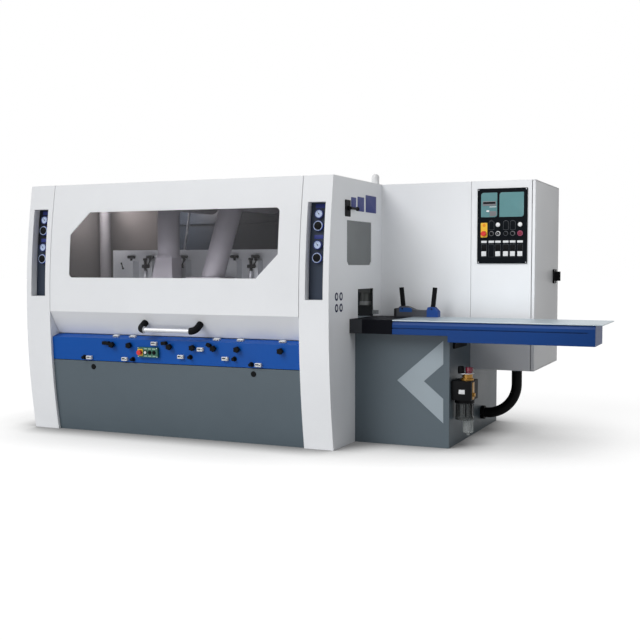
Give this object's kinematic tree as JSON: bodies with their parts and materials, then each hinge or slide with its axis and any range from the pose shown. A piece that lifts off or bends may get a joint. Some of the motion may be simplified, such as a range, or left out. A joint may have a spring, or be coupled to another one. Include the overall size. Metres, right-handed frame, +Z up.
{
  "type": "four sided moulder",
  "caption": "Woodworking planing and moulding machine with a bowed lift-up hood, windowed cutter bay, long infeed table and raised control cabinet.",
  "frame": {"origin": "centre of the bounding box on the floor", "axes": "+X along the machine towards the infeed table, +Y to the back, +Z up"},
  "size_m": [3.99, 1.8501, 1.831],
  "materials": {
    "white_paint": "smooth satin white paint",
    "gray_paint": "satin blue-gray paint",
    "blue_paint": "satin blue paint",
    "cast_paint": "painted casting",
    "dark_iron": "dark casting with a ground top",
    "ground_steel": "ground and polished",
    "tool_steel": "turned",
    "light_metal": "satin",
    "black_plastic": "fine grain",
    "light_plastic": "glossy",
    "blue_plastic": "glossy",
    "green_plastic": "satin",
    "red_plastic": "glossy",
    "black_rubber": "matt",
    "smoked_glass": "smoked clear sheet"
  },
  "bodies": {
    "frame": {"machine_bed": "cast_paint", "bed_plates": "ground_steel", "fence_plates": "ground_steel", "left_end_cover": "white_paint", "right_end_cover": "white_paint", "rear_cover": "white_paint", "lower_front_panel": "gray_paint", "adjustment_panel": "blue_paint", "position_readouts": "light_plastic", "button_station": "green_plastic", "gauge_panels": "black_plastic", "end_window": "smoked_glass", "signal_lamp": "light_plastic", "infeed_base": "gray_paint", "infeed_back_cover": "white_paint", "control_cabinet": "white_paint", "switchgear": "black_plastic", "control_panel": "black_plastic", "cable_conduit": "black_rubber", "air_unit": "black_plastic", "spindle_carriers": "cast_paint", "drive_motors": "blue_paint", "drive_belts": "black_rubber", "suction_ducts": "light_metal"},
    "hood": {"hood_shell": "white_paint", "hood_window": "smoked_glass", "hood_handle": "light_metal"},
    "door": {"cabinet_door": "white_paint"},
    "isolator": {"isolator_knob": "black_plastic"},
    "latch": {"latch_lever": "black_plastic"},
    "table": {"infeed_table": "ground_steel", "infeed_beam": "blue_paint", "jointing_table": "dark_iron", "guide_block": "cast_paint"},
    "guide_left": {"guide_lever_left": "black_plastic"},
    "guide_right": {"guide_lever_right": "black_plastic"},
    "feed": {"feed_beam": "cast_paint"},
    "roller_in": {"infeed_roller": "tool_steel"},
    "roller_out": {"outfeed_roller": "tool_steel"},
    "spindle_bottom_1": {"first_bottom_spindle": "tool_steel"},
    "spindle_right": {"right_spindle": "tool_steel"},
    "spindle_left": {"left_spindle": "tool_steel"},
    "spindle_top": {"top_spindle": "tool_steel"},
    "spindle_bottom_2": {"second_bottom_spindle": "tool_steel"},
    "stop_station": {"station_stop": "red_plastic"},
    "stop_panel": {"panel_stop": "red_plastic"},
    "button_white": {"station_button_white": "light_plastic"},
    "button_left": {"station_button_left": "black_plastic"},
    "button_right": {"station_button_right": "black_plastic"},
    "adjust_1": {"adjuster_1": "black_plastic"},
    "adjust_2": {"adjuster_2": "black_plastic"},
    "adjust_3": {"adjuster_3": "black_plastic"},
    "adjust_4": {"adjuster_4": "black_plastic"},
    "adjust_5": {"adjuster_5": "black_plastic"},
    "adjust_6": {"adjuster_6": "black_plastic"},
    "adjust_7": {"adjuster_7": "black_plastic"},
    "regulate_1": {"regulator_1": "blue_plastic"},
    "regulate_2": {"regulator_2": "blue_plastic"},
    "regulate_3": {"regulator_3": "blue_plastic"},
    "regulate_4": {"regulator_4": "blue_plastic"}
  },
  "joints": [
    {"name": "hood_lift", "type": "hinge", "parent": "frame", "child": "hood", "pos_m": [-0.81, -0.02293, 1.758], "axis": [-1, 0, 0], "range_deg": [0, 55]},
    {"name": "door_swing", "type": "hinge", "parent": "frame", "child": "door", "pos_m": [1.455, 0.08907, 1.109], "axis": [0, 0, -1], "range_deg": [0, 95]},
    {"name": "isolator_turn", "type": "hinge", "parent": "door", "child": "isolator", "pos_m": [1.463, 0.76907, 1.1], "axis": [1, 0, 0], "range_deg": [0, 90]},
    {"name": "latch_turn", "type": "hinge", "parent": "frame", "child": "latch", "pos_m": [0.375, -0.56293, 1.55103], "axis": [1, 0, 0], "range_deg": [0, 90]},
    {"name": "table_lift", "type": "slide", "parent": "frame", "child": "table", "axis": [0, 0, 1], "range_m": [0, 0.01]},
    {"name": "guide_left_clamp", "type": "hinge", "parent": "table", "child": "guide_left", "pos_m": [0.59285, -0.06793, 0.882], "axis": [0, 1, 0], "range_deg": [-20, 60]},
    {"name": "guide_right_clamp", "type": "hinge", "parent": "table", "child": "guide_right", "pos_m": [0.80295, -0.06793, 0.882], "axis": [0, 1, 0], "range_deg": [-60, 20]},
    {"name": "feed_lift", "type": "slide", "parent": "frame", "child": "feed", "axis": [0, 0, 1], "range_m": [0, 0.12]},
    {"name": "roller_in_turn", "type": "hinge", "parent": "feed", "child": "roller_in", "pos_m": [-0.22508, -0.19093, 0.933], "axis": [0, 1, 0], "continuous": true},
    {"name": "roller_out_turn", "type": "hinge", "parent": "feed", "child": "roller_out", "pos_m": [-1.27499, -0.19093, 0.933], "axis": [0, 1, 0], "continuous": true},
    {"name": "bottom_1_spin", "type": "hinge", "parent": "frame", "child": "spindle_bottom_1", "pos_m": [-0.04449, -0.09093, 0.7655], "axis": [0, 1, 0], "continuous": true},
    {"name": "right_spin", "type": "hinge", "parent": "frame", "child": "spindle_right", "pos_m": [-0.42488, -0.03843, 0.7], "axis": [0, 0, 1], "continuous": true},
    {"name": "left_spin", "type": "hinge", "parent": "frame", "child": "spindle_left", "pos_m": [-0.74482, -0.39343, 0.7], "axis": [0, 0, 1], "continuous": true},
    {"name": "top_spin", "type": "hinge", "parent": "frame", "child": "spindle_top", "pos_m": [-1.06501, -0.09093, 0.9205], "axis": [0, 1, 0], "continuous": true},
    {"name": "bottom_2_spin", "type": "hinge", "parent": "frame", "child": "spindle_bottom_2", "pos_m": [-1.47502, -0.09093, 0.7655], "axis": [0, 1, 0], "continuous": true},
    {"name": "station_stop_press", "type": "slide", "parent": "frame", "child": "stop_station", "axis": [0, 0.9982, 0.0597], "range_m": [0, 0.006], "stiffness_N_per_m": 400},
    {"name": "panel_stop_press", "type": "slide", "parent": "frame", "child": "stop_panel", "axis": [0, 1, 0], "range_m": [0, 0.006], "stiffness_N_per_m": 400},
    {"name": "button_white_press", "type": "slide", "parent": "frame", "child": "button_white", "axis": [0, 0.9982, 0.0597], "range_m": [0, 0.004], "stiffness_N_per_m": 300},
    {"name": "button_left_press", "type": "slide", "parent": "frame", "child": "button_left", "axis": [0, 0.9982, 0.0597], "range_m": [0, 0.004], "stiffness_N_per_m": 300},
    {"name": "button_right_press", "type": "slide", "parent": "frame", "child": "button_right", "axis": [0, 0.9982, 0.0597], "range_m": [0, 0.004], "stiffness_N_per_m": 300},
    {"name": "adjust_1_turn", "type": "hinge", "parent": "frame", "child": "adjust_1", "pos_m": [0.03206, -0.84473, 0.631], "axis": [0, 0.9987, 0.0508], "continuous": true},
    {"name": "adjust_2_turn", "type": "hinge", "parent": "frame", "child": "adjust_2", "pos_m": [-0.28386, -0.84473, 0.631], "axis": [0, 0.9987, 0.0508], "continuous": true},
    {"name": "adjust_3_turn", "type": "hinge", "parent": "frame", "child": "adjust_3", "pos_m": [-0.4609, -0.84473, 0.631], "axis": [0, 0.9987, 0.0508], "continuous": true},
    {"name": "adjust_4_turn", "type": "hinge", "parent": "frame", "child": "adjust_4", "pos_m": [-0.62206, -0.84473, 0.631], "axis": [0, 0.9987, 0.0508], "continuous": true},
    {"name": "adjust_5_turn", "type": "hinge", "parent": "frame", "child": "adjust_5", "pos_m": [-0.80218, -0.84473, 0.631], "axis": [0, 0.9987, 0.0508], "continuous": true},
    {"name": "adjust_6_turn", "type": "hinge", "parent": "frame", "child": "adjust_6", "pos_m": [-1.12687, -0.84473, 0.631], "axis": [0, 0.9987, 0.0508], "continuous": true},
    {"name": "adjust_7_turn", "type": "hinge", "parent": "frame", "child": "adjust_7", "pos_m": [-1.26836, -0.84473, 0.631], "axis": [0, 0.9987, 0.0508], "continuous": true},
    {"name": "regulate_1_turn", "type": "hinge", "parent": "frame", "child": "regulate_1", "pos_m": [-1.892, -0.78075, 1.428], "axis": [0, 0.9932, -0.116], "continuous": true},
    {"name": "regulate_2_turn", "type": "hinge", "parent": "frame", "child": "regulate_2", "pos_m": [-1.892, -0.79999, 1.22605], "axis": [0, 0.9973, -0.0736], "continuous": true},
    {"name": "regulate_3_turn", "type": "hinge", "parent": "frame", "child": "regulate_3", "pos_m": [0.272, -0.78075, 1.428], "axis": [0, 0.9932, -0.116], "continuous": true},
    {"name": "regulate_4_turn", "type": "hinge", "parent": "frame", "child": "regulate_4", "pos_m": [0.272, -0.79999, 1.22605], "axis": [0, 0.9973, -0.0736], "continuous": true}
  ],
  "couplings": [
    {"joint": "roller_out_turn", "follows": "roller_in_turn", "ratio": 1}
  ]
}
